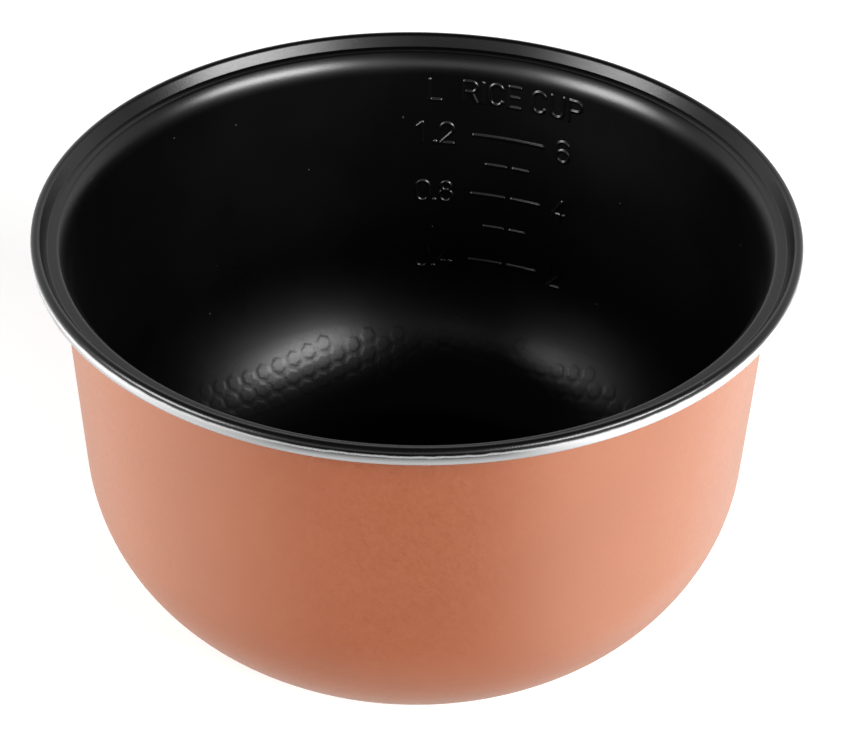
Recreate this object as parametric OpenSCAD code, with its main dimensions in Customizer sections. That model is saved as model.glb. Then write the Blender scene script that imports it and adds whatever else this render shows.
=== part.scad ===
// Inner cooking pot of a rice cooker: a deep-drawn aluminium pan with a stepped flange, a black
// non-stick lining and a copper-coloured outer coating. Millimetres. The origin is the centre of
// the base, +Z is up and +Y points at the water-level scale.

/* [Overall size] */
// Outside diameter of the flange
rim_d = 210; // [200:1:220]
// Height from the base to the top of the flange
pot_h = 120; // [114:1:130]
// Thickness of the drawn metal
sheet_t = 2.1; // [1.8:0.1:2.6]

/* [Wall and base] */
// Distance from the flange's edge in to the outside of the wall, at the flange's height
wall_inset = 7.1; // [7:0.1:7.6]
// Angle by which the wall leans in towards the base
wall_taper = 2.4; // [0.5:0.1:4]
// Outside radius of the large curve below the wall
heel_r = 54; // [46:1:56]
// Outside radius of the tighter curve that runs into the base
toe_r = 22; // [16:1:28]
// Angle below level at which the large curve gives way to the tighter one
heel_angle = 57; // [50:1:65]

/* [Flange] */
// Height of the flange's edge, with its rounded upper corner
edge_h = 4.4; // [4:0.1:4.8]
// Distance from the flange's edge in to where its inner side starts to round off
flange_w = 1.4; // [1.4:0.1:1.8]
// Drop from the top of the flange to the shoulder inside it
step_h = 3.5; // [3.2:0.1:3.8]
// Angle of the face between the flange and the shoulder
step_angle = 60; // [56:1:66]

/* [Coatings] */
// Thickness of the non-stick lining
lining_t = 0.3; // [0.25:0.05:0.4]
// Thickness of the outer coating
coat_t = 0.2; // [0.15:0.05:0.3]

/* [Level scale] */
// Height of the figures and letters
glyph_h = 7; // [5:0.5:8]
// Width of an embossed stroke
stroke_w = 0.8; // [0.6:0.1:1]
// How far the scale stands out of the lining
relief_h = 0.35; // [0.2:0.05:0.5]

/* [Honeycomb] */
// Distance from one cell to the next
cell_pitch = 6.1; // [5.6:0.1:7]
// Distance across the flats of a cell
cell_flats = 4.4; // [3.4:0.1:5]
// Depth of a cell in the lining
cell_depth = 0.1; // [0.1:0.05:0.2]

/* [Hidden] */

// Angle that one facet of a curve in a section covers
facet = 3;
// The same for the curves of a glyph
glyph_facet = 20;
// Depth to which a raised piece is rooted in its neighbour
root = 0.2;

// Flange
rim_r = rim_d / 2;
edge_round = 1.4;
edge_break = 0.3;
brow_round = 1.4;
foot_round = 0.4;
corner_round = 1.3;
lip_round = 10;
lip_angle = 42;
full_t = sheet_t + lining_t;
coat_edge_r = rim_r - 0.9;
underside_z = pot_h - edge_h;
shoulder_z = pot_h - step_h;

// Base: the bare contact face stands a little lower than the coated metal around it
land_h = 0.4;
land_margin = 0.8;
land_break = 0.2;

// Outside of the bare metal wall at height z
function wall_r(z) = rim_r - wall_inset - tan(wall_taper) * (pot_h - z);

// Centres of the two curves between wall and base
heel_z = land_h + toe_r + (heel_r - toe_r) * sin(heel_angle);
heel_c = [wall_r(heel_z) - heel_r / cos(wall_taper), heel_z];
toe_c = heel_c + (heel_r - toe_r) * [cos(heel_angle), -sin(heel_angle)];
land_r = toe_c[0] - land_margin;

// Lean and radius of the finished inside at height z, on the wall and on the curve below it
function lean(z) = max(wall_taper, asin((heel_z - z) / (heel_r - full_t)));
function lined_r(z) =
    lean(z) > wall_taper
    ? heel_c[0] + (heel_r - full_t) * cos(lean(z))
    : wall_r(z) - full_t / cos(wall_taper);

// Centres of the curves in the flange: edge, brow, foot of the step, lip of the wall, which is also
// the centre of the neck on the outside, and the small corner between shoulder and lip
step_dir = [-cos(step_angle), -sin(step_angle)];
step_out = [-sin(step_angle), cos(step_angle)];
edge_c = [rim_r - edge_round, pot_h - edge_round];
brow_c = [rim_r - flange_w, pot_h - brow_round];
brow_end = brow_c + brow_round * step_out;
foot_drop = brow_end[1] - shoulder_z - foot_round * (1 - cos(step_angle));
foot_c = brow_end + step_dir * foot_drop / sin(step_angle) + foot_round * step_out;
lip_z = shoulder_z - corner_round - (lip_round - corner_round) * sin(lip_angle);
lip_c = [wall_r(lip_z) + (lip_round - full_t) / cos(wall_taper), lip_z];
corner_c = lip_c + (lip_round - corner_round) * [-cos(lip_angle), sin(lip_angle)];

// Level scale: figures, heights above the base and angles to the right of +Y
level_z = [90, 80, 69, 57.5, 44.5];
level_litres = ["1.2", "", "0.8", "", "0.4"];
level_cups = ["6", "", "4", "", "2"];
long_half = 7.1;
short_half = 4.4;
line_gap = [-0.1, 0.9];
litres_at = -17.7;
cups_at = 9.8;
heading_z = 105;
headings = [["L", -15.4], ["RICE", -8.9], ["CUP", 4.4]];
line_w = 1.0;
glyph_grid = 7;
letter_gap = 2.1;
point_gap = 1.7;

// Honeycomb: stamped in the flat sheet before drawing, so its rows run straight across the pot.
// The centre of one cell and the direction of a row on the flat sheet, and the angle below level
// at which the cells begin on the large curve
cell_start = [-1.8, 0.6];
row_turn = -5.9;
first_cell_angle = 34;

// Points along an arc with centre c and radius r, from angle a to angle b
function arc(c, r, a, b, step = facet) =
    let (n = ceil(abs(b - a) / step))
    [for (i = [0:n]) c + r * [cos(a + (b - a) * i / n), sin(a + (b - a) * i / n)]];

function reversed(points) = [for (i = [len(points) - 1:-1:0]) points[i]];

// Wall, heel and toe at a depth d inside the outside of the metal
function bowl_line(d) = concat(
    arc(heel_c, heel_r - d, -wall_taper, -heel_angle),
    arc(toe_c, toe_r - d, -heel_angle, -90)
);

// Inside of the pot from the flange's edge to the axis, at a depth d below the finished lining
function inner_line(d) = concat(
    arc(edge_c, edge_round - d, 0, 90),
    arc(brow_c, brow_round - d, 90, 90 + step_angle),
    arc(foot_c, foot_round + d, step_angle - 90, -90),
    arc(corner_c, corner_round - d, 90, 180 - lip_angle),
    arc(lip_c, lip_round - d, 180 - lip_angle, 180 - wall_taper),
    bowl_line(full_t - d),
    [[0, land_h + full_t - d]]
);

// Outside of the pot from under the flange to the base, at a distance d outside the metal
function outer_line(d) =
    let (
        under_r = foot_round + full_t + d,
        under_a = -asin((foot_c[1] - underside_z + d) / under_r),
        neck_r = lip_round - full_t - d,
        neck_a = 180 - asin((foot_c[1] - under_r - lip_z) / neck_r)
    )
    concat(
        [[coat_edge_r, underside_z - d]],
        arc(foot_c, under_r, under_a, -90),
        arc(lip_c, neck_r, neck_a, 180 - wall_taper),
        bowl_line(-d)
    );

// The bare turned edge of the flange, from the end of the lining to the underside
function edge_line() = [
    [rim_r, edge_c[1]],
    [rim_r, underside_z + edge_break],
    [rim_r - edge_break, underside_z]
];

// The contact face under the base
function land_line() = [
    [land_r, land_h],
    [land_r, land_break],
    [land_r - land_break, 0],
    [0, 0]
];

// Drawn aluminium pan, with its bare turned edge and bare contact face
module pan_body() {
    color("silver")
    rotate_extrude($fn = 180)
    polygon(concat(edge_line(), outer_line(0), land_line(), reversed(inner_line(lining_t))));
}

// Straight stroke of a glyph with round ends, from p to q
module bar(p, q) {
    for (end = [p, q])
        translate(end)
        circle(d = stroke_w, $fn = 12);
    translate(p)
    rotate(atan2(q[1] - p[1], q[0] - p[0]))
    translate([0, -stroke_w / 2])
    square([norm(q - p), stroke_w]);
}

// Curved stroke of a glyph with round ends, centred on c, from angle a to angle b
module bend(c, r, a, b) {
    for (t = [a, b])
        translate(c + r * [cos(t), sin(t)])
        circle(d = stroke_w, $fn = 12);
    polygon(concat(
        arc(c, r + stroke_w / 2, a, b, glyph_facet),
        reversed(arc(c, r - stroke_w / 2, a, b, glyph_facet))
    ));
}

// Closed round stroke of a glyph
module loop(c, r) {
    bend(c, r, 0, 180);
    bend(c, r, 180, 360);
}

// Outline of one figure or letter, drawn on a grid 4 wide and 7 high
module glyph(ch) {
    if (ch == ".") {
        circle(d = 1.4 * stroke_w, $fn = 12);
    }
    if (ch == "0") {
        bar([0, 2], [0, 5]);
        bar([4, 2], [4, 5]);
        bend([2, 5], 2, 0, 180);
        bend([2, 2], 2, 180, 360);
    }
    if (ch == "1") {
        bar([1.6, 0], [1.6, 7]);
        bar([1.6, 7], [0, 5.6]);
    }
    if (ch == "2") {
        bend([2, 5], 2, -30, 170);
        bar([2 + 2 * cos(30), 4], [0, 0]);
        bar([0, 0], [4, 0]);
    }
    if (ch == "4") {
        bar([3, 0], [3, 7]);
        bar([3, 7], [0, 2.2]);
        bar([0, 2.2], [4, 2.2]);
    }
    if (ch == "6") {
        loop([2, 2], 2);
        bend([2, 5], 2, 30, 180);
        bar([0, 2], [0, 5]);
    }
    if (ch == "8") {
        loop([2, 2], 2);
        loop([2, 5.4], 1.5);
    }
    if (ch == "L") {
        bar([0, 0], [0, 7]);
        bar([0, 0], [3.4, 0]);
    }
    if (ch == "R" || ch == "P") {
        bar([0, 0], [0, 7]);
        bar([0, 7], [2.2, 7]);
        bar([0, 3.5], [2.2, 3.5]);
        bend([2.2, 5.25], 1.75, -90, 90);
    }
    if (ch == "R") {
        bar([2.2, 3.5], [4, 0]);
    }
    if (ch == "I") {
        bar([0, 0], [0, 7]);
    }
    if (ch == "C") {
        bend([2, 5], 2, 20, 180);
        bar([0, 2], [0, 5]);
        bend([2, 2], 2, 180, 340);
    }
    if (ch == "E") {
        bar([0, 0], [0, 7]);
        bar([0, 7], [3.4, 7]);
        bar([0, 3.5], [3, 3.5]);
        bar([0, 0], [3.4, 0]);
    }
    if (ch == "U") {
        bar([0, 2], [0, 7]);
        bar([4, 2], [4, 7]);
        bend([2, 2], 2, 180, 360);
    }
}

// Width of a glyph on the grid, and where the glyph number i of a word starts
function glyph_w(ch) = (ch == "." || ch == "I") ? 0 : 4;
function gap_after(word, i) = (word[i] == "." || word[i + 1] == ".") ? point_gap : letter_gap;
function glyph_x(word, i) =
    i == 0 ? 0 : glyph_x(word, i - 1) + glyph_w(word[i - 1]) + gap_after(word, i - 1);

// A word in relief on the wall, starting at an angle to the right of +Y, centred on height z
module word_on_wall(word, angle, z) {
    scale_up = glyph_h / glyph_grid;
    for (i = [0:len(word) - 1]) {
        half_w = glyph_w(word[i]) / 2;
        turn = angle + (glyph_x(word, i) + half_w) * scale_up / lined_r(z) * 180 / PI;
        rotate([0, 0, -turn])
        translate([0, lined_r(z), z])
        rotate([90 - lean(z), 0, 0])
        translate([0, 0, -root])
        linear_extrude(height = root + relief_h)
        scale(scale_up)
        translate([-half_w, -glyph_grid / 2])
        glyph(word[i]);
    }
}

// A level line in relief on the wall, between two angles to the right of +Y
module line_on_wall(z, from, to) {
    low = z - line_w / 2;
    high = z + line_w / 2;
    rotate([0, 0, 90 - to])
    rotate_extrude(angle = to - from, $fn = 180)
    polygon([
        [lined_r(low) + root, low],
        [lined_r(high) + root, high],
        [lined_r(high) - relief_h, high],
        [lined_r(low) - relief_h, low]
    ]);
}

// Headings, figures and lines of the water-level scale
module level_scale() {
    for (h = headings)
        word_on_wall(h[0], h[1], heading_z);
    for (i = [0:len(level_z) - 1]) {
        half = level_litres[i] == "" ? short_half : long_half;
        if (level_litres[i] != "") {
            word_on_wall(level_litres[i], litres_at, level_z[i]);
            word_on_wall(level_cups[i], cups_at, level_z[i]);
        }
        if (i == 0) {
            line_on_wall(level_z[i], -half, half);
        } else {
            line_on_wall(level_z[i], -half, line_gap[0]);
            line_on_wall(level_z[i], line_gap[1], half);
        }
    }
}

// Shallow six-sided cells on the large inside curve. Distances from the middle of the flat sheet
// are kept along the inside of the pot.
module honeycomb() {
    cell_r = cell_flats / 2 / cos(30);
    surface_r = heel_r - full_t;
    curve_end = toe_c[0] + (toe_r - full_t) * (90 - heel_angle) * PI / 180;
    reach = ceil(2 * rim_r / cell_pitch);
    for (i = [-reach:reach], j = [-reach:reach]) {
        cell = cell_start + cell_pitch * (
            i * [cos(row_turn), sin(row_turn)] + j * [cos(row_turn + 60), sin(row_turn + 60)]
        );
        spread = atan2(cell[1], cell[0]);
        below = heel_angle - (norm(cell) - curve_end) / surface_r * 180 / PI;
        if (below > first_cell_angle && below < heel_angle - 5)
            rotate([0, 0, spread])
            translate([heel_c[0], 0, heel_c[1]])
            rotate([0, below, 0])
            translate([surface_r, 0, 0])
            rotate([0, 90, 0])
            rotate([0, 0, spread - row_turn + 30])
            translate([0, 0, -1])
            cylinder(r = cell_r, h = 1 + cell_depth, $fn = 6);
    }
}

// Non-stick lining over the inside and the top of the flange
module nonstick_lining() {
    color([0.09, 0.09, 0.1])
    difference() {
        union() {
            rotate_extrude($fn = 180)
            polygon(concat(inner_line(0), reversed(inner_line(lining_t))));
            level_scale();
        }
        honeycomb();
    }
}

// Copper-coloured coating from under the flange to the edge of the base
module outer_coating() {
    color([0.8, 0.53, 0.38])
    rotate_extrude($fn = 180)
    polygon(concat(outer_line(coat_t), reversed(outer_line(0))));
}

pan_body();
nonstick_lining();
outer_coating();
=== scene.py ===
"""Inner cooking pot of a rice cooker: finished surfaces, materials, studio lights and camera."""

import math

import bpy
import numpy as np
from mathutils import Matrix, Vector


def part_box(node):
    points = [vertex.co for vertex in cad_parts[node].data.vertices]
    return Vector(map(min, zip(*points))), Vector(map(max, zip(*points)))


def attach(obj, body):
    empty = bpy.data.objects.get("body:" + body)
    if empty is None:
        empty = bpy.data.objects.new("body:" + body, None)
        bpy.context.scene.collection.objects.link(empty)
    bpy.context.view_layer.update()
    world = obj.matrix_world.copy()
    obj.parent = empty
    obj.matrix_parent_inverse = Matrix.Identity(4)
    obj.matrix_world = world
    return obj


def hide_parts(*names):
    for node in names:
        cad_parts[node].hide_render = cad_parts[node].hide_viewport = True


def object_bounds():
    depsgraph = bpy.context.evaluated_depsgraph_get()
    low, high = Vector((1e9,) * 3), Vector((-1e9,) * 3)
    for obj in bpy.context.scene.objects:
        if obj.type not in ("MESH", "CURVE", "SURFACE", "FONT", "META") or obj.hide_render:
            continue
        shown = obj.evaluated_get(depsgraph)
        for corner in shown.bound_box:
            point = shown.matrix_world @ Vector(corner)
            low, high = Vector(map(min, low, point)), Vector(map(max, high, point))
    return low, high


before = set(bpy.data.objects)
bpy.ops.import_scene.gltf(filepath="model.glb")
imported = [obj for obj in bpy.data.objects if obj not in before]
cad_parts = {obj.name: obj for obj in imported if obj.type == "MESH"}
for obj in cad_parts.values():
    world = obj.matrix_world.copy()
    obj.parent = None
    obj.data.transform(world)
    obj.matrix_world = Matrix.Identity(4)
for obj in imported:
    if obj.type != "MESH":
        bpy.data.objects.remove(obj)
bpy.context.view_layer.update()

MM = 0.001
TAU = 2 * math.pi

# ---------------------------------------------------------------- the pot's section, in millimetres
# The pot's axis is Z and its contact face is at z = 0. These are the dimensions of the CAD part.
RIM_R = 105.0
POT_H = 120.0
SHEET_T = 2.1
LINING_T = 0.3
COAT_T = 0.2
FULL_T = SHEET_T + LINING_T
WALL_INSET = 7.1
WALL_TAPER = math.radians(2.4)
HEEL_R = 54.0
TOE_R = 22.0
HEEL_ANGLE = math.radians(57)
UNDERSIDE_Z = POT_H - 4.4
SHOULDER_Z = POT_H - 3.5
STEP_ANGLE = math.radians(60)
EDGE_ROUND = 1.4
EDGE_BREAK = 0.3
FOOT_ROUND = 0.4
CORNER_ROUND = 1.3
LIP_ROUND = 10.0
LIP_ANGLE = math.radians(42)
COAT_EDGE_R = RIM_R - 0.9
LAND_H = 0.4
LAND_MARGIN = 0.8
LAND_BREAK = 0.2
DOWN, UP = -math.pi / 2, math.pi / 2
EDGE_STEPS, FOOT_STEPS, CORNER_STEPS, LIP_STEPS = 30, 8, 8, 20
UNDER_STEPS, NECK_STEPS = 10, 14
HEEL_STEPS, TOE_STEPS = 40, 16


def wall_r(z):
    """Radius of the bare metal's outside at height z."""
    return RIM_R - WALL_INSET - math.tan(WALL_TAPER) * (POT_H - z)


HEEL_Z = LAND_H + TOE_R + (HEEL_R - TOE_R) * math.sin(HEEL_ANGLE)
HEEL_C = (wall_r(HEEL_Z) - HEEL_R / math.cos(WALL_TAPER), HEEL_Z)
TOE_C = (
    HEEL_C[0] + (HEEL_R - TOE_R) * math.cos(HEEL_ANGLE),
    HEEL_C[1] - (HEEL_R - TOE_R) * math.sin(HEEL_ANGLE),
)
LAND_R = TOE_C[0] - LAND_MARGIN
EDGE_C = (RIM_R - EDGE_ROUND, POT_H - EDGE_ROUND)
EDGE_END = (EDGE_C[0] - EDGE_ROUND * math.sin(STEP_ANGLE), EDGE_C[1] + EDGE_ROUND * math.cos(STEP_ANGLE))
FOOT_DROP = EDGE_END[1] - SHOULDER_Z - FOOT_ROUND * (1 - math.cos(STEP_ANGLE))
FOOT_C = (
    EDGE_END[0] - FOOT_DROP / math.tan(STEP_ANGLE) - FOOT_ROUND * math.sin(STEP_ANGLE),
    EDGE_END[1] - FOOT_DROP + FOOT_ROUND * math.cos(STEP_ANGLE),
)
LIP_Z = SHOULDER_Z - CORNER_ROUND - (LIP_ROUND - CORNER_ROUND) * math.sin(LIP_ANGLE)
LIP_C = (wall_r(LIP_Z) + (LIP_ROUND - FULL_T) / math.cos(WALL_TAPER), LIP_Z)
CORNER_C = (
    LIP_C[0] - (LIP_ROUND - CORNER_ROUND) * math.cos(LIP_ANGLE),
    LIP_C[1] + (LIP_ROUND - CORNER_ROUND) * math.sin(LIP_ANGLE),
)


def arc(centre, radius, start, end, steps):
    """Points along an arc of the section."""
    turn = np.linspace(start, end, steps + 1)
    return np.stack([centre[0] + radius * np.cos(turn), centre[1] + radius * np.sin(turn)], 1)


def bowl_line(depth):
    """Large and small curve between wall and base, at a depth inside the metal's outside."""
    return np.concatenate([
        arc(HEEL_C, HEEL_R - depth, -WALL_TAPER, -HEEL_ANGLE, HEEL_STEPS),
        arc(TOE_C, TOE_R - depth, -HEEL_ANGLE, DOWN, TOE_STEPS)[1:],
    ])


def flange_line(depth):
    """Flange's rounded edge, its sloping inner side, the shoulder and the wall's lip, from the outside in,
    at a depth below the lining's surface."""
    return np.concatenate([
        arc(EDGE_C, EDGE_ROUND - depth, 0, UP + STEP_ANGLE, EDGE_STEPS),
        arc(FOOT_C, FOOT_ROUND + depth, STEP_ANGLE + DOWN, DOWN, FOOT_STEPS),
        arc(CORNER_C, CORNER_ROUND - depth, UP, math.pi - LIP_ANGLE, CORNER_STEPS),
        arc(LIP_C, LIP_ROUND - depth, math.pi - LIP_ANGLE, math.pi - WALL_TAPER, LIP_STEPS)[1:],
    ])


def metal_inside():
    """The pan's inside, which the lining covers, from the flange to the axis."""
    return np.concatenate([
        flange_line(LINING_T),
        bowl_line(SHEET_T),
        [[0, LAND_H + SHEET_T]],
    ])


def outer_line(outset):
    """Outside of the pot from under the flange to the base, at a distance outside the metal."""
    under_r = FOOT_ROUND + FULL_T + outset
    under_a = -math.asin((FOOT_C[1] - UNDERSIDE_Z + outset) / under_r)
    neck_r = LIP_ROUND - FULL_T - outset
    neck_a = math.pi - math.asin((FOOT_C[1] - under_r - LIP_Z) / neck_r)
    return np.concatenate([
        [[COAT_EDGE_R, UNDERSIDE_Z - outset]],
        arc(FOOT_C, under_r, under_a, DOWN, UNDER_STEPS),
        arc(LIP_C, neck_r, neck_a, math.pi - WALL_TAPER, NECK_STEPS),
        bowl_line(-outset),
    ])


# ---------------------------------------------------------------- meshes
COLUMNS = 360
ON_AXIS = 1e-6
TURNED_SHARP, LINING_SHARP = math.radians(50), math.radians(65)


def finish_mesh(name, points, faces, sharp):
    """A smooth-shaded object from points in millimetres, with edges left sharp above an angle. Faces that
    have shrunk to a line on the axis are left out."""
    mesh = bpy.data.meshes.new(name)
    mesh.from_pydata((np.asarray(points) * MM).tolist(), [], [f for f in faces if len(f) > 2])
    mesh.validate()
    mesh.polygons.foreach_set("use_smooth", [True] * len(mesh.polygons))
    mesh.set_sharp_from_angle(angle=sharp)
    mesh.update()
    piece = bpy.data.objects.new(name, mesh)
    bpy.context.scene.collection.objects.link(piece)
    return piece


def add_rings(points, section):
    """Adds a ring of points for each point of a section, or one point on the axis. Returns their numbers."""
    turn = np.arange(COLUMNS) * TAU / COLUMNS
    ring = np.stack([np.sin(turn), np.cos(turn)], 1)
    rings = []
    for r, z in section:
        if r < ON_AXIS:
            rings.append([len(points)] * COLUMNS)
            points.append((0, 0, z))
        else:
            rings.append(range(len(points), len(points) + COLUMNS))
            points.extend(np.column_stack([ring * r, np.full(COLUMNS, z)]).tolist())
    return rings


def band(above, below):
    """Faces between two rings, with three corners where a ring is one point on the axis."""
    faces = []
    for i in range(COLUMNS):
        j = (i + 1) % COLUMNS
        face = [above[i], above[j], below[j], below[i]]
        faces.append([v for k, v in enumerate(face) if v != face[k - 1]])
    return faces


def lathe(name, section):
    """A solid of revolution. The section runs clockwise round the metal, seen with the axis on the left."""
    points = []
    rings = add_rings(points, section)
    faces = [face for a, b in zip(rings, rings[1:] + rings[:1]) for face in band(a, b)]
    return finish_mesh(name, points, faces, TURNED_SHARP)


# ---------------------------------------------------------------- relief: the level scale
# Places along the scale are degrees to the right of +Y. Each level is its height z, its litres and its cups.
LEVELS = [(90, "1.2", "6"), (80, "", ""), (69, "0.8", "4"), (57.5, "", ""), (44.5, "0.4", "2")]
# Levels with figures have a long line, the others a short one, and all but the top line have a gap.
LONG_HALF, SHORT_HALF = 7.1, 4.4
LINE_GAP = (-0.1, 0.9)
LITRES_AT, CUPS_AT = -17.7, 9.8
HEADINGS = [("L", -15.4), ("RICE", -8.9), ("CUP", 4.4)]
HEADING_Z = 105
LETTER_GAP, POINT_GAP = 2.1, 1.7
STROKE_W, POINT_W = 0.8, 1.36
LINE_W = 1.0
RELIEF_H = 0.35
FLANK = 0.28


def bar(p, q):
    """Straight stroke between two points."""
    return ("bar", p, q)


def bend(c, r, a, b):
    """Stroke along an arc, between two angles in degrees."""
    return ("bend", c, r, math.radians(a), math.radians(b))


GLYPHS = {
    ".": [bar((0, 0), (0, 0.15))],
    "0": [bar((0, 2), (0, 5)), bar((4, 2), (4, 5)), bend((2, 5), 2, 0, 180), bend((2, 2), 2, 180, 360)],
    "1": [bar((1.6, 0), (1.6, 7)), bar((1.6, 7), (0, 5.6))],
    "2": [bend((2, 5), 2, -30, 170), bar((3.73, 4), (0, 0)), bar((0, 0), (4, 0))],
    "4": [bar((3, 0), (3, 7)), bar((3, 7), (0, 2.2)), bar((0, 2.2), (4, 2.2))],
    "6": [bend((2, 2), 2, 0, 360), bend((2, 5), 2, 30, 180), bar((0, 2), (0, 5))],
    "8": [bend((2, 2), 2, 0, 360), bend((2, 5.4), 1.5, 0, 360)],
    "L": [bar((0, 0), (0, 7)), bar((0, 0), (3.4, 0))],
    "P": [bar((0, 0), (0, 7)), bar((0, 7), (2.2, 7)), bar((0, 3.5), (2.2, 3.5)),
          bend((2.2, 5.25), 1.75, -90, 90)],
    "I": [bar((0, 0), (0, 7))],
    "C": [bend((2, 5), 2, 20, 180), bar((0, 2), (0, 5)), bend((2, 2), 2, 180, 340)],
    "E": [bar((0, 0), (0, 7)), bar((0, 7), (3.4, 7)), bar((0, 3.5), (3, 3.5)), bar((0, 0), (3.4, 0))],
    "U": [bar((0, 2), (0, 7)), bar((4, 2), (4, 7)), bend((2, 2), 2, 180, 360)],
}
GLYPHS["R"] = GLYPHS["P"] + [bar((2.2, 3.5), (4, 0))]
GLYPH_H = 7
GLYPH_W = 4
NARROW = {".": 0, "I": 0}
GLYPH_MARGIN = 2


def stroke_distance(stroke, x, y):
    """Distance from points to the middle line of a stroke."""
    if stroke[0] == "bar":
        (px, py), (qx, qy) = stroke[1:]
        dx, dy = qx - px, qy - py
        t = np.clip(((x - px) * dx + (y - py) * dy) / max(dx * dx + dy * dy, 1e-9), 0, 1)
        return np.hypot(x - px - t * dx, y - py - t * dy)
    centre, r, a, b = stroke[1:]
    u, v = x - centre[0], y - centre[1]
    turn = np.mod(np.arctan2(v, u) - a, TAU)
    on_arc = np.abs(np.hypot(u, v) - r)
    ends = [np.hypot(u - r * math.cos(t), v - r * math.sin(t)) for t in (a, b)]
    return np.where(turn <= b - a, on_arc, np.minimum(*ends))


def ramp(t):
    """Smooth step from 0 to 1."""
    t = np.clip(t, 0, 1)
    return t * t * (3 - 2 * t)


def raised(distance, width):
    """Height of a pressed stroke with soft flanks, at a distance from its middle line."""
    return RELIEF_H * ramp((width / 2 + FLANK / 2 - distance) / FLANK)


def add_word(height, word, angle, z, turn, tall, radius):
    """Raises a word that starts at an angle to the right of +Y and is centred on height z."""
    x = 0.0
    along = (np.radians(turn)[None, :] - math.radians(angle)) * radius[:, None]
    up = (tall - z)[:, None] * np.ones_like(along)
    for i, ch in enumerate(word):
        rows = np.abs(tall - z) < GLYPH_H / 2 + GLYPH_MARGIN
        level = along[len(along) // 2]
        part = np.ix_(rows, (level > x - GLYPH_MARGIN) & (level < x + GLYPH_W + GLYPH_MARGIN))
        near = np.min([stroke_distance(s, along[part] - x, up[part] + GLYPH_H / 2) for s in GLYPHS[ch]], 0)
        height[part] = np.maximum(height[part], raised(near, POINT_W if ch == "." else STROKE_W))
        if i + 1 < len(word):
            x += NARROW.get(ch, GLYPH_W) + (POINT_GAP if "." in (ch, word[i + 1]) else LETTER_GAP)


def add_level(height, z, start, end, turn, tall, radius):
    """Raises one level line between two angles to the right of +Y."""
    middle = math.radians((start + end) / 2)
    half = math.radians(end - start) / 2 * radius[:, None] - LINE_W / 2
    beyond = np.maximum(np.abs(np.radians(turn)[None, :] - middle) * radius[:, None] - half, 0)
    near = np.hypot(beyond, (tall - z)[:, None])
    np.maximum(height, raised(near, LINE_W), out=height)


def scale_relief(turn, tall, radius):
    """Height of the level scale on a grid of angles (degrees) and heights up the wall."""
    height = np.zeros((len(tall), len(turn)))
    for word, angle in HEADINGS:
        add_word(height, word, angle, HEADING_Z, turn, tall, radius)
    for i, (z, litres, cups) in enumerate(LEVELS):
        half = LONG_HALF if litres else SHORT_HALF
        spans = [(-half, half)] if i == 0 else [(-half, LINE_GAP[0]), (LINE_GAP[1], half)]
        for start, end in spans:
            add_level(height, z, start, end, turn, tall, radius)
        if litres:
            add_word(height, litres, LITRES_AT, z, turn, tall, radius)
            add_word(height, cups, CUPS_AT, z, turn, tall, radius)
    return height


# ---------------------------------------------------------------- relief: the honeycomb
# Dips are degrees below level, seen from the centre of the large curve.
CELL_PITCH = 6.1
CELL_HALF = 2.2
CELL_DEPTH = 0.045
CELL_FLANK = 0.9
CELL_START = (-1.8, 0.6)
ROW_TURN = math.radians(-5.9)
CELL_DIPS = (34.0, 52.0)


def honeycomb_relief(turn, dip):
    """Depth (negative) of the cells on a grid of angles round the pot and dips below level, in degrees.

    The cells are stamped in the flat sheet, and distances from its middle are kept along the drawn inside.
    """
    slope_r = HEEL_R - FULL_T
    curve_end = TOE_C[0] + (TOE_R - FULL_T) * (math.pi / 2 - HEEL_ANGLE)
    sheet_r = (curve_end + slope_r * (HEEL_ANGLE - np.radians(dip)))[:, None]
    x = sheet_r * np.sin(np.radians(turn)) - CELL_START[0]
    y = sheet_r * np.cos(np.radians(turn)) - CELL_START[1]
    c, s = math.cos(ROW_TURN), math.sin(ROW_TURN)
    u, v = x * c + y * s, y * c - x * s
    lean_c, lean_s = 0.5, math.sqrt(3) / 2
    row_gap = CELL_PITCH * lean_s
    height = np.zeros_like(u)
    for parity in (0, 1):
        row = 2 * np.round((v / row_gap - parity) / 2) + parity
        along = (np.round(u / CELL_PITCH - row / 2) + row / 2) * CELL_PITCH
        up = row * row_gap
        du, dv = u - along, v - up
        reach = np.max([np.abs(du), np.abs(du * lean_c + dv * lean_s), np.abs(du * lean_c - dv * lean_s)], 0)
        centre_r = np.hypot(CELL_START[0] + along * c - up * s, CELL_START[1] + along * s + up * c)
        centre_dip = np.degrees(HEEL_ANGLE - (centre_r - curve_end) / slope_r)
        kept = (centre_dip > CELL_DIPS[0]) & (centre_dip < CELL_DIPS[1])
        height -= CELL_DEPTH * kept * ramp((CELL_HALF + CELL_FLANK / 2 - reach) / CELL_FLANK)
    return height


# ---------------------------------------------------------------- non-stick lining
# Each coarse face is cut SPLIT times both ways in the scale's window and CELL_SPLIT times in the cells' band.
SPLIT = 8
WINDOW = (-20, 16)
WINDOW_TOP = 109.2
WINDOW_DIP = 10.4
WINDOW_ROWS, WINDOW_DIP_ROWS = 38, 5
CELL_BAND = (29.0, 55.4)
CELL_SPLIT = 4
CELL_ROWS = 19
ABOVE_CELLS, BELOW_CELLS = 11, 2
FLOOR_POINTS = 15


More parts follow.
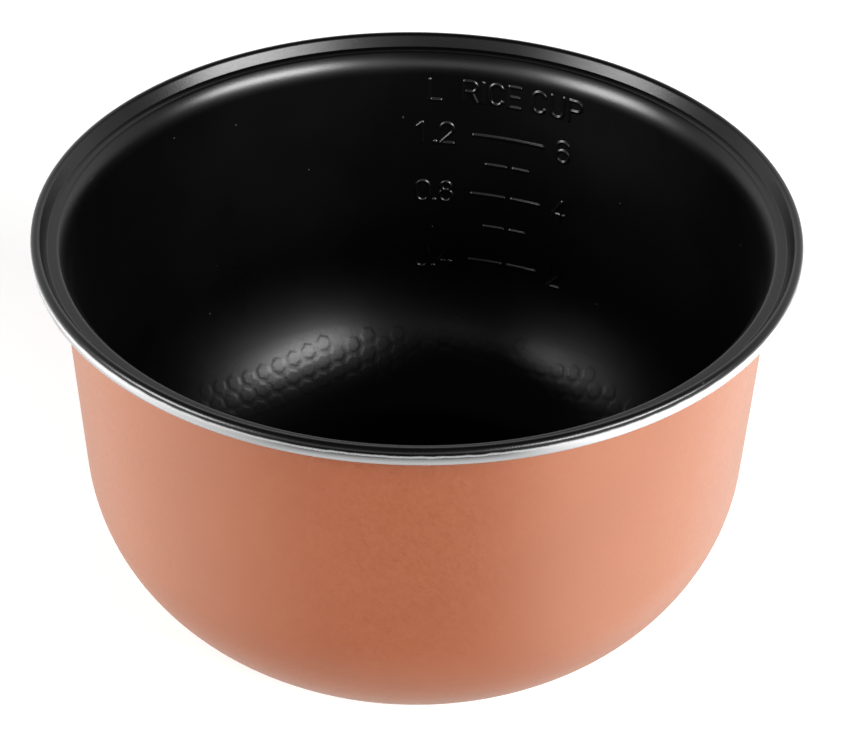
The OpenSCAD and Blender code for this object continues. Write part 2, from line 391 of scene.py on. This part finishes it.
def lining_rows():
    """Section points down the inside, and each coarse row's first point, fine rows and kind of relief."""
    points, rows = [], []

    def run(line, split, kind):
        for i in range(0, len(line) - 1, split):
            rows.append((len(points) + i, split, kind))
        points.extend(line[:-1].tolist())

    def level(z0, z1, steps):
        z = np.linspace(z0, z1, steps + 1)
        return np.stack([[wall_r(v) - FULL_T / math.cos(WALL_TAPER) for v in z], z], 1)

    def heel(a, b, steps):
        return arc(HEEL_C, HEEL_R - FULL_T, -math.radians(a), -math.radians(b), steps)

    flange = flange_line(0)
    run(flange, 1, "plain")
    run(level(flange[-1][1], WINDOW_TOP, 2), 1, "plain")
    run(level(WINDOW_TOP, HEEL_Z, WINDOW_ROWS * SPLIT), SPLIT, "scale")
    run(heel(math.degrees(WALL_TAPER), WINDOW_DIP, WINDOW_DIP_ROWS * SPLIT), SPLIT, "scale")
    run(heel(WINDOW_DIP, CELL_BAND[0], ABOVE_CELLS), 1, "plain")
    run(heel(*CELL_BAND, CELL_ROWS * CELL_SPLIT), CELL_SPLIT, "cells")
    run(heel(CELL_BAND[1], math.degrees(HEEL_ANGLE), BELOW_CELLS), 1, "plain")
    run(arc(TOE_C, TOE_R - FULL_T, -HEEL_ANGLE, DOWN, TOE_STEPS), 1, "plain")
    floor_r = np.linspace(TOE_C[0], 0, FLOOR_POINTS)
    run(np.stack([floor_r, np.full(FLOOR_POINTS, LAND_H + FULL_T)], 1), 1, "plain")
    return np.array(points), rows


def lining_relief(line, rows, turn):
    """How far the relief stands out at every point of the section and every angle, in millimetres."""
    relief = np.zeros((len(line), len(turn)))
    carries = {kind: np.zeros(len(line), bool) for kind in ("plain", "scale", "cells")}
    for start, split, kind in rows:
        carries[kind][start:start + split + 1] = True
    scale, cells = carries["scale"], carries["cells"]

    # height up the wall along its slope, equal to z on the wall's straight part
    lift = np.cumsum(np.concatenate([[0], np.hypot(*np.diff(line, axis=0).T)]))
    top = int(np.argmax(scale))
    tall = line[top, 1] - (lift - lift[top]) * math.cos(WALL_TAPER)
    window = (turn >= WINDOW[0]) & (turn <= WINDOW[1])
    relief[np.ix_(scale, window)] = scale_relief(turn[window], tall[scale], line[scale, 0])

    dip = np.degrees(np.arctan2(HEEL_C[1] - line[:, 1], line[:, 0] - HEEL_C[0]))
    relief[cells] = honeycomb_relief(turn, dip[cells])
    return relief


def lining_blocks(rows, turn):
    """The inside's coarse faces: first row, fine rows, first column, and the cuts made across and down."""
    blocks = []
    for start, split, kind in rows:
        for left in range(0, COLUMNS * SPLIT, SPLIT):
            across = 1
            if kind == "cells":
                across = CELL_SPLIT
            elif kind == "scale" and WINDOW[0] <= turn[left] < WINDOW[1]:
                across = SPLIT
            blocks.append((start, split, left, across, split if across > 1 else 1))
    return blocks


def block_columns(left, cuts):
    """Columns at the cuts across a block."""
    return [(left + k * SPLIT // cuts) % (COLUMNS * SPLIT) for k in range(cuts + 1)]


def block_faces(index, block):
    """Faces of one block, from the numbers of its points. An uncut block is one face, which also takes in the
    points that its neighbours have on its edges, so that the skin stays closed."""
    start, split, left, across, down = block
    if across > 1:
        columns = block_columns(left, across)
        return [
            (above[c], below[c], below[d], above[d])
            for above, below in zip(index[start:start + down], index[start + 1:start + down + 1])
            for c, d in zip(columns, columns[1:])
        ]
    columns = block_columns(left, SPLIT)
    inner = range(start + 1, start + split)
    above, below = [[index[i, c] for c in columns if index[i, c] >= 0] for i in (start, start + split)]
    west, east = [[index[i, c] for i in inner if index[i, c] >= 0] for c in (columns[0], columns[-1])]
    if below[0] == below[-1]:
        below = below[:1]
    return [(above[0], *west, *below, *reversed(east), *reversed(above[1:]))]


def make_lining():
    """The lining as one closed skin, with the level scale and the honeycomb cells as real relief."""
    line, rows = lining_rows()
    lattice = COLUMNS * SPLIT
    turn = (np.arange(lattice) / SPLIT + 180) % 360 - 180
    relief = lining_relief(line, rows, turn)
    step = np.gradient(line, axis=0)
    step /= np.linalg.norm(step, axis=1)[:, None]

    # number the points of the fine lattice that a block uses, and one more on the axis
    blocks = lining_blocks(rows, turn)
    used = np.zeros((len(line), lattice), bool)
    for start, split, left, across, down in blocks:
        at = np.arange(start, start + split + 1, split // down)
        used[np.ix_(at[at < len(line)], block_columns(left, across))] = True
    row, column = np.nonzero(used)
    index = np.full((len(line) + 1, lattice), -1)
    index[row, column] = np.arange(len(row))
    index[len(line)] = len(row)

    # the inside stands off the section along its normal
    radius = line[row, 0] + step[row, 1] * relief[row, column]
    height = line[row, 1] - step[row, 0] * relief[row, column]
    spread = np.radians(turn[column])
    points = np.column_stack([radius * np.sin(spread), radius * np.cos(spread), height]).tolist()
    points.append((0, 0, LAND_H + FULL_T))
    faces = [face for block in blocks for face in block_faces(index, block)]

    # the back of the skin starts at the flange's edge
    rings = [index[0, ::SPLIT], *add_rings(points, metal_inside())]
    faces += [face for a, b in zip(rings, rings[1:]) for face in band(a, b)]
    return finish_mesh("nonstick_lining_skin", points, [[int(v) for v in f] for f in faces], LINING_SHARP)


# ---------------------------------------------------------------- metal pan and outer coating
GROOVE_PITCH = 2.0
GROOVE_DEPTH = 0.03
GROOVE_STEPS = 4


def make_pan():
    """Drawn pan: turned edge, and a contact face with fine turned rings."""
    edge = [[RIM_R, EDGE_C[1]], [RIM_R, UNDERSIDE_Z + EDGE_BREAK], [RIM_R - EDGE_BREAK, UNDERSIDE_Z]]
    face_r = LAND_R - LAND_BREAK
    radii = np.linspace(face_r, 0, int(face_r / GROOVE_PITCH) * GROOVE_STEPS + 1)
    wave = GROOVE_DEPTH * np.sin(np.pi * (face_r - radii) / GROOVE_PITCH) ** 2
    land = [[LAND_R, LAND_H], [LAND_R, LAND_BREAK], *np.stack([radii, wave], 1)]
    section = np.concatenate([edge, outer_line(0), land, metal_inside()[::-1]])
    return lathe("pan_metal", section)


def make_coating():
    """Outer coating as a closed skin over the pan."""
    return lathe("outer_coating_skin", np.concatenate([outer_line(COAT_T), outer_line(0)[::-1]]))


# ---------------------------------------------------------------- materials
BLACK, SPECK = (0.0004, 0.0004, 0.0005, 1), (0.04, 0.038, 0.036, 1)
COPPER_DEEP, COPPER_PALE = (0.232, 0.041, 0.007, 1), (0.256, 0.049, 0.010, 1)
# The second colour on this line is a painted reflection of the pale floor, laid in patches near the base.
COPPER_FLAKE, COPPER_FLOOR_REFLECTION = (0.44, 0.12, 0.04, 1), (0.30, 0.19, 0.14, 1)
COPPER_SHEEN = (1.0, 0.93, 0.74, 1)
ALUMINIUM = (0.84, 0.845, 0.85, 1)
ALUMINIUM_DULL, ALUMINIUM_BRIGHT = (0.78, 0.785, 0.80, 1), (0.90, 0.90, 0.905, 1)
# The coating thins out down the flange's rounded corner, between these two heights, with an uneven line.
COATED_ABOVE = (POT_H - 1.3) * MM
BARE_BELOW = (POT_H - 2.3) * MM
BARE_BEYOND = (RIM_R - 2) * MM
BARE_UNEVEN = 0.12 * MM


class Nodes:
    """Short calls that add shader nodes to one material or world, and return the output they are for."""

    def __init__(self, tree):
        self.tree = tree
        tree.nodes.clear()

    def add(self, kind, inputs=(), **settings):
        node = self.tree.nodes.new(kind)
        for key, value in settings.items():
            setattr(node, key, value)
        for key, value in dict(inputs).items():
            if isinstance(value, bpy.types.NodeSocket):
                self.tree.links.new(value, node.inputs[key])
            else:
                node.inputs[key].default_value = value
        return node

    def noise(self, vector, scale, detail=2.0, roughness=0.5):
        node = self.add("ShaderNodeTexNoise", {"Vector": vector, "Scale": scale, "Detail": detail,
                                               "Roughness": roughness})
        return node.outputs["Fac"]

    def map(self, value, low, high, to_low, to_high):
        node = self.add("ShaderNodeMapRange", {"Value": value, "From Min": low, "From Max": high,
                                               "To Min": to_low, "To Max": to_high})
        return node.outputs["Result"]

    def smooth(self, value, low, high):
        node = self.add("ShaderNodeMapRange", {"Value": value, "From Min": low, "From Max": high},
                        interpolation_type="SMOOTHSTEP")
        return node.outputs["Result"]

    def math(self, operation, a, b=0.0):
        return self.add("ShaderNodeMath", {0: a, 1: b}, operation=operation).outputs[0]

    def product(self, first, *rest):
        for value in rest:
            first = self.math("MULTIPLY", first, value)
        return first

    def total(self, first, *rest):
        for value in rest:
            first = self.math("ADD", first, value)
        return first

    def blend(self, factor, a, b):
        node = self.tree.nodes.new("ShaderNodeMix")
        node.data_type = "RGBA"
        for socket, value in zip((node.inputs[0], node.inputs[6], node.inputs[7]), (factor, a, b)):
            if isinstance(value, bpy.types.NodeSocket):
                self.tree.links.new(value, socket)
            else:
                socket.default_value = value
        return node.outputs[2]

    def bump(self, height, distance, strength, normal=None):
        inputs = {"Height": height, "Distance": distance, "Strength": strength}
        if normal is not None:
            inputs["Normal"] = normal
        return self.add("ShaderNodeBump", inputs).outputs["Normal"]


def new_material(name):
    """A material, its nodes and the place of each point on the object."""
    material = bpy.data.materials.new(name)
    material.use_nodes = True
    nodes = Nodes(material.node_tree)
    place = nodes.add("ShaderNodeTexCoord").outputs["Object"]
    return material, nodes, place


def close_material(nodes, inputs):
    """Ends a material in one Principled shader."""
    shader = nodes.add("ShaderNodeBsdfPrincipled", inputs)
    nodes.add("ShaderNodeOutputMaterial", {"Surface": shader.outputs["BSDF"]})


def radius_and_height(n, place):
    """Distance from the pot's axis and height, from a place on the pot."""
    parts = n.add("ShaderNodeSeparateXYZ", {"Vector": place})
    across = n.add("ShaderNodeCombineXYZ", {"X": parts.outputs["X"], "Y": parts.outputs["Y"]}).outputs[0]
    radius = n.add("ShaderNodeVectorMath", {0: across}, operation="LENGTH").outputs["Value"]
    return radius, parts.outputs["Z"]


def bare_edge(n, place):
    """How bare the metal is at the flange's edge: the coating thins out down the rounded corner."""
    radius, height = radius_and_height(n, place)
    uneven = n.map(n.noise(place, 260, 2.0), 0.3, 0.7, -BARE_UNEVEN, BARE_UNEVEN)
    thin = n.smooth(n.math("ADD", height, uneven), COATED_ABOVE, BARE_BELOW)
    return n.math("MULTIPLY", thin, n.math("GREATER_THAN", radius, BARE_BEYOND))


def nonstick_black():
    """Semi-gloss black coating: fine pebbled spray texture, slight sheen variation, a few specks."""
    material, n, place = new_material("nonstick_black")
    pebble = n.noise(place, 1500, 2.0, 0.55)
    grain = n.noise(place, 4200, 1.0)
    drift = n.noise(place, 35, 3.0)
    speck = n.add("ShaderNodeTexVoronoi", {"Vector": place, "Scale": 95.0, "Randomness": 1.0}, feature="F1")
    spot = n.map(speck.outputs["Distance"], 0.022, 0.034, 1.0, 0.0)
    colour = n.blend(spot, BLACK, SPECK)
    rough = n.math("ADD", n.map(drift, 0.3, 0.7, 0.28, 0.32), n.map(grain, 0.3, 0.7, -0.02, 0.02))
    normal = n.bump(grain, 0.00001, 0.35, n.bump(pebble, 0.00003, 0.5))
    bare = bare_edge(n, place)
    close_material(n, {"Base Color": n.blend(bare, colour, ALUMINIUM), "Roughness": rough, "Normal": normal,
                       "Metallic": bare, "IOR": 1.5})
    return material


def copper_coating():
    """Satin copper-coloured paint: fine flake, soft blotches, and a pale greyish painted reflection of the
    floor in patches near the base.
    """
    material, n, place = new_material("copper_coating")
    height = n.add("ShaderNodeSeparateXYZ", {"Vector": place}).outputs["Z"]
    cloud = n.noise(place, 22, 3.0)
    flake = n.add("ShaderNodeTexVoronoi", {"Vector": place, "Scale": 2600.0}, feature="F1")
    tone = n.add("ShaderNodeSeparateColor", {"Color": flake.outputs["Color"]}).outputs[0]
    mist = n.noise(place, 700, 2.0)
    colour = n.blend(n.map(cloud, 0.3, 0.7, 0.0, 1.0), COPPER_DEEP, COPPER_PALE)
    colour = n.blend(n.map(tone, 0.0, 1.0, 0.0, 0.12), colour, COPPER_FLAKE)
    # painted reflection: patches of a paler, greyer colour low on the curve near the base stand in for the
    # pale floor's reflection
    floor_reflection = n.math("MULTIPLY", n.map(height, 0.0015, 0.0045, 1.0, 0.0), n.map(mist, 0.42, 0.58, 0.0, 0.5))
    colour = n.blend(floor_reflection, colour, COPPER_FLOOR_REFLECTION)
    rough = n.math("ADD", n.map(mist, 0.3, 0.7, 0.40, 0.46), n.map(tone, 0.0, 1.0, -0.03, 0.03))
    normal = n.bump(tone, 0.000006, 0.25, n.bump(mist, 0.00001, 0.3))
    close_material(n, {"Base Color": colour, "Roughness": rough, "Metallic": 0.1, "Normal": normal,
                       "IOR": 1.8, "Specular IOR Level": 1.0, "Specular Tint": COPPER_SHEEN})
    return material


def turned_aluminium():
    """Bare aluminium with the circular marks of a turning tool and a few rubbed patches. It is black where
    the flange's coating meets it."""
    material, n, place = new_material("turned_aluminium")
    radius, height = radius_and_height(n, place)
    section = n.add("ShaderNodeCombineXYZ", {"X": radius, "Y": height}).outputs[0]
    marks = n.noise(section, 3800, 3.0, 0.6)
    coarse = n.noise(section, 900, 2.0, 0.5)
    patches = n.noise(place, 60, 3.0)
    colour = n.blend(n.map(coarse, 0.3, 0.7, 0.0, 1.0), ALUMINIUM_DULL, ALUMINIUM_BRIGHT)
    rough = n.math("ADD", n.map(marks, 0.3, 0.7, 0.17, 0.26), n.map(patches, 0.35, 0.65, -0.03, 0.06))
    normal = n.bump(coarse, 0.00002, 0.3, n.bump(marks, 0.00001, 0.5))
    coated = n.math("MULTIPLY", n.math("GREATER_THAN", height, BARE_BELOW - BARE_UNEVEN),
                    n.math("SUBTRACT", 1.0, bare_edge(n, place)))
    colour = n.blend(coated, colour, BLACK)
    close_material(n, {"Base Color": colour, "Metallic": n.math("SUBTRACT", 1.0, coated), "Roughness": rough,
                       "Normal": normal})
    return material


def dress(piece, node, material):
    """Puts a finished piece in the place of its CAD node."""
    piece.data.materials.append(material)
    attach(piece, "root")
    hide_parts(node)


# ---------------------------------------------------------------- studio
# The camera looks from VIEW_DISTANCE at the centre of the rim, then aims to the right of it and below it by
# the tangents AIM_RIGHT and AIM_BELOW.
VIEW_TURN = math.radians(17.4)
VIEW_ELEVATION = 32.54
VIEW_DISTANCE = 0.63225
VIEW_ROLL = math.radians(0.93)
AIM_RIGHT, AIM_BELOW = 0.004117, 0.068781
LENS, SENSOR = 97.6235, 36.0
CLIP_START = 0.01
LIGHT_AIM = Vector((0, 0, 0.06))
WHITE = (1, 1, 1, 1)
FLOOR_HALF, FLOOR_DROP = 3.0, 0.00005
RIGHT_GLOW, LEFT_GLOW, UNDER_GLOW = 1.4, 1.1, 0.55
BACK_GLOW, FRONT_GLOW, AMBIENT = 0.88, 1.3, 0.03
FLOOR_GLOW = 0.3
# Each glow fades in between two cosines of the angle to a direction: away from the camera (BACK, FRONT), to
# its right (RIGHT, LEFT) or up (the rest).
BACK_FADE, FRONT_FADE = (-0.1, 0.6), (-0.45, -0.85)
RIGHT_FADE, LEFT_FADE = (0.25, 0.65), (-0.35, -0.85)
BACK_TOP, FRONT_FOOT, FRONT_TOP = (0.85, 0.45), (0.1, 0.25), (0.6, 0.4)
LOW_FADE, UNDER_FADE = (0.0, -0.3), (-0.72, -0.98)


def towards(azimuth, elevation):
    """A direction from the pot. Azimuth 0 is towards the camera and grows to the camera's right."""
    a, e = math.radians(azimuth) + VIEW_TURN, math.radians(elevation)
    return Vector((math.sin(a) * math.cos(e), -math.cos(a) * math.cos(e), math.sin(e)))


def level_axes(forward):
    """Directions to the right and up, seen along a view without roll."""
    right = forward.cross(Vector((0, 0, 1))).normalized()
    return right, right.cross(forward)


def make_camera():
    """Camera at the viewing angle of the picture, a little above and to one side of the level scale."""
    back = towards(0, VIEW_ELEVATION)
    right, up = level_axes(-back)
    forward = (right * AIM_RIGHT - up * AIM_BELOW - back).normalized()
    right, up = level_axes(forward)
    tilted_right = right * math.cos(VIEW_ROLL) + up * math.sin(VIEW_ROLL)
    tilted_up = up * math.cos(VIEW_ROLL) - right * math.sin(VIEW_ROLL)
    data = bpy.data.cameras.new("camera")
    data.sensor_fit = "HORIZONTAL"
    data.sensor_width = SENSOR
    data.lens = LENS
    data.clip_start = CLIP_START
    camera = bpy.data.objects.new("camera", data)
    axes = Matrix((tilted_right, tilted_up, -forward)).transposed()
    rim = Vector((0, 0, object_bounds()[1].z))
    camera.matrix_world = Matrix.Translation(rim + back * VIEW_DISTANCE) @ axes.to_4x4()
    bpy.context.scene.collection.objects.link(camera)
    bpy.context.scene.camera = camera


def panel(name, azimuth, elevation, distance, width, height, radiance):
    """A soft rectangular light that faces the pot."""
    data = bpy.data.lights.new(name, "AREA")
    data.shape = "RECTANGLE"
    data.size, data.size_y = width, height
    data.energy = radiance * math.pi * width * height
    light = bpy.data.objects.new(name, data)
    back = towards(azimuth, elevation)
    light.location = LIGHT_AIM + back * distance
    light.rotation_mode = "QUATERNION"
    light.rotation_quaternion = back.to_track_quat("Z", "Y")
    bpy.context.scene.collection.objects.link(light)


def make_world():
    """Studio surroundings: a bright backdrop, a band of light towards the camera, a faint ambient level, and
    a glow low at both sides and underneath, which only glossy surfaces see, because the floor hides it."""
    world = bpy.data.worlds.new("studio")
    bpy.context.scene.world = world
    world.use_nodes = True
    n = Nodes(world.node_tree)
    away = n.add("ShaderNodeTexCoord").outputs["Generated"]
    up = n.add("ShaderNodeSeparateXYZ", {"Vector": away}).outputs["Z"]
    back, side = [
        n.add("ShaderNodeVectorMath", {0: away, 1: tuple(towards(azimuth, 0))},
              operation="DOT_PRODUCT").outputs["Value"]
        for azimuth in (180, 90)
    ]
    low = n.smooth(up, *LOW_FADE)
    front_height = n.product(n.smooth(up, *FRONT_FOOT), n.smooth(up, *FRONT_TOP))
    level = n.total(
        n.product(n.smooth(back, *BACK_FADE), n.smooth(up, *BACK_TOP), BACK_GLOW),
        n.product(n.smooth(back, *FRONT_FADE), front_height, FRONT_GLOW),
        n.product(n.smooth(side, *RIGHT_FADE), low, RIGHT_GLOW),
        n.product(n.smooth(side, *LEFT_FADE), low, LEFT_GLOW),
        n.product(n.smooth(up, *UNDER_FADE), UNDER_GLOW),
        AMBIENT,
    )
    seen = n.add("ShaderNodeLightPath").outputs["Is Camera Ray"]
    shade = n.add("ShaderNodeBackground", {"Color": WHITE, "Strength": level}).outputs[0]
    white = n.add("ShaderNodeBackground", {"Color": WHITE, "Strength": 1.0}).outputs[0]
    both = n.add("ShaderNodeMixShader", {0: seen, 1: shade, 2: white}).outputs[0]
    n.add("ShaderNodeOutputWorld", {"Surface": both})


def make_floor():
    """Plain pale floor that glows a little, just under the pot's contact face."""
    mesh = bpy.data.meshes.new("studio_floor")
    corners = [(-FLOOR_HALF, -FLOOR_HALF, 0), (FLOOR_HALF, -FLOOR_HALF, 0),
               (FLOOR_HALF, FLOOR_HALF, 0), (-FLOOR_HALF, FLOOR_HALF, 0)]
    mesh.from_pydata(corners, [], [(0, 1, 2, 3)])
    floor = bpy.data.objects.new("studio_floor", mesh)
    floor.location.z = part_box("pan_body")[0].z - FLOOR_DROP
    bpy.context.scene.collection.objects.link(floor)
    material, n, place = new_material("studio_floor")
    fine = n.noise(place, 40, 3.0)
    colour = n.blend(fine, (0.87, 0.87, 0.87, 1), (0.88, 0.88, 0.88, 1))
    close_material(n, {"Base Color": colour, "Roughness": 0.7, "Specular IOR Level": 0.2,
                       "Emission Color": WHITE, "Emission Strength": FLOOR_GLOW})
    mesh.materials.append(material)
    floor.visible_glossy = False


def make_studio():
    """Camera, surroundings, floor and two soft panels. Standard view transform, so white stays white."""
    make_camera()
    make_world()
    make_floor()
    panel("soft_right", azimuth=54, elevation=28, distance=1.0, width=0.72, height=0.28, radiance=28.0)
    panel("soft_left", azimuth=-66, elevation=21.5, distance=1.0, width=0.5, height=0.40, radiance=19.0)
    bpy.context.scene.view_settings.view_transform = "Standard"


# ---------------------------------------------------------------- build
make_studio()
dress(make_pan(), "pan_body", turned_aluminium())
dress(make_lining(), "nonstick_lining", nonstick_black())
dress(make_coating(), "outer_coating", copper_coating())

bpy.context.view_layer.update()
